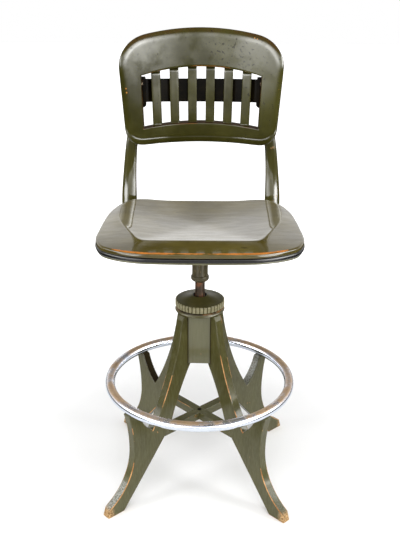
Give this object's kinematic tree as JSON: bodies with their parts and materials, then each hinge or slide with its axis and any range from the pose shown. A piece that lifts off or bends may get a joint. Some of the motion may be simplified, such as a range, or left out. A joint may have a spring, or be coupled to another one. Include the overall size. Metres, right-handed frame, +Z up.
{
  "type": "drafting stool",
  "caption": "Drafting stool of painted wood with a screw-raised, swivelling dished seat, a tilting slatted back and a round steel foot ring.",
  "frame": {"origin": "on the stool's axis at the floor", "axes": "+Z up, -Y towards the front of the seat, +X to the right of a viewer who stands in front"},
  "size_m": [0.4441, 0.4693, 1.0285],
  "materials": {
    "enamelled_wood": "gloss enamel, worn",
    "dowel_wood": "bare",
    "chrome_tube": "plated, worn on top",
    "hub_iron": "gloss enamel, worn",
    "spindle_steel": "aged, oily",
    "fastener_steel": "satin",
    "black_strip": "gloss",
    "black_steel": "gloss enamel",
    "brass_washer": "plain"
  },
  "bodies": {
    "base": {"leg_rear_right": "enamelled_wood", "leg_rear_left": "enamelled_wood", "leg_front_left": "enamelled_wood", "leg_front_right": "enamelled_wood", "stretcher_upper": "enamelled_wood", "stretcher_lower": "enamelled_wood", "stretcher_screw": "fastener_steel", "foot_ring": "chrome_tube", "foot_ring_screws": "fastener_steel", "centre_post": "enamelled_wood", "leg_dowels": "dowel_wood", "guide_tube": "hub_iron", "guide_tube_screws": "fastener_steel", "top_plate": "hub_iron", "top_plate_screws": "fastener_steel"},
    "wheel": {"hand_wheel": "hub_iron", "wheel_clip": "fastener_steel"},
    "spindle": {"spindle": "spindle_steel", "spindle_foot": "hub_iron", "spindle_foot_pin": "fastener_steel", "thrust_washer": "brass_washer"},
    "seat": {"socket_tube": "hub_iron", "socket_screw": "fastener_steel", "seat_spider": "hub_iron", "spider_screws": "fastener_steel", "seat_board": "enamelled_wood", "seat_edge_strip": "black_strip", "seat_lower_board": "enamelled_wood", "upright_right": "enamelled_wood", "upright_left": "enamelled_wood", "upright_screws": "fastener_steel", "back_bar": "black_steel", "back_bar_screws": "fastener_steel", "pivot_screws": "fastener_steel"},
    "back": {"back_frame": "enamelled_wood", "back_slat_1": "enamelled_wood", "back_slat_2": "enamelled_wood", "back_slat_3": "enamelled_wood", "back_slat_4": "enamelled_wood", "back_slat_5": "enamelled_wood", "back_slat_6": "enamelled_wood", "pivot_bracket_right": "black_steel", "pivot_bracket_left": "black_steel", "pivot_bracket_screws": "fastener_steel"}
  },
  "joints": [
    {"name": "wheel_turn", "type": "hinge", "parent": "base", "child": "wheel", "pos_m": [0, 0, 0.45], "axis": [0, 0, 1], "range_deg": [-4250, 1700]},
    {"name": "seat_height", "type": "slide", "parent": "base", "child": "spindle", "axis": [0, 0, 1], "range_m": [-0.03, 0.075]},
    {"name": "seat_swivel", "type": "hinge", "parent": "spindle", "child": "seat", "pos_m": [0, 0, 0.5], "axis": [0, 0, 1], "continuous": true},
    {"name": "back_tilt", "type": "hinge", "parent": "seat", "child": "back", "pos_m": [0, 0.22964, 0.88632], "axis": [-1, 0, 0], "range_deg": [-6, 10]}
  ],
  "couplings": [
    {"joint": "seat_height", "follows": "wheel_turn", "m_per_rad": -0.0010106}
  ]
}
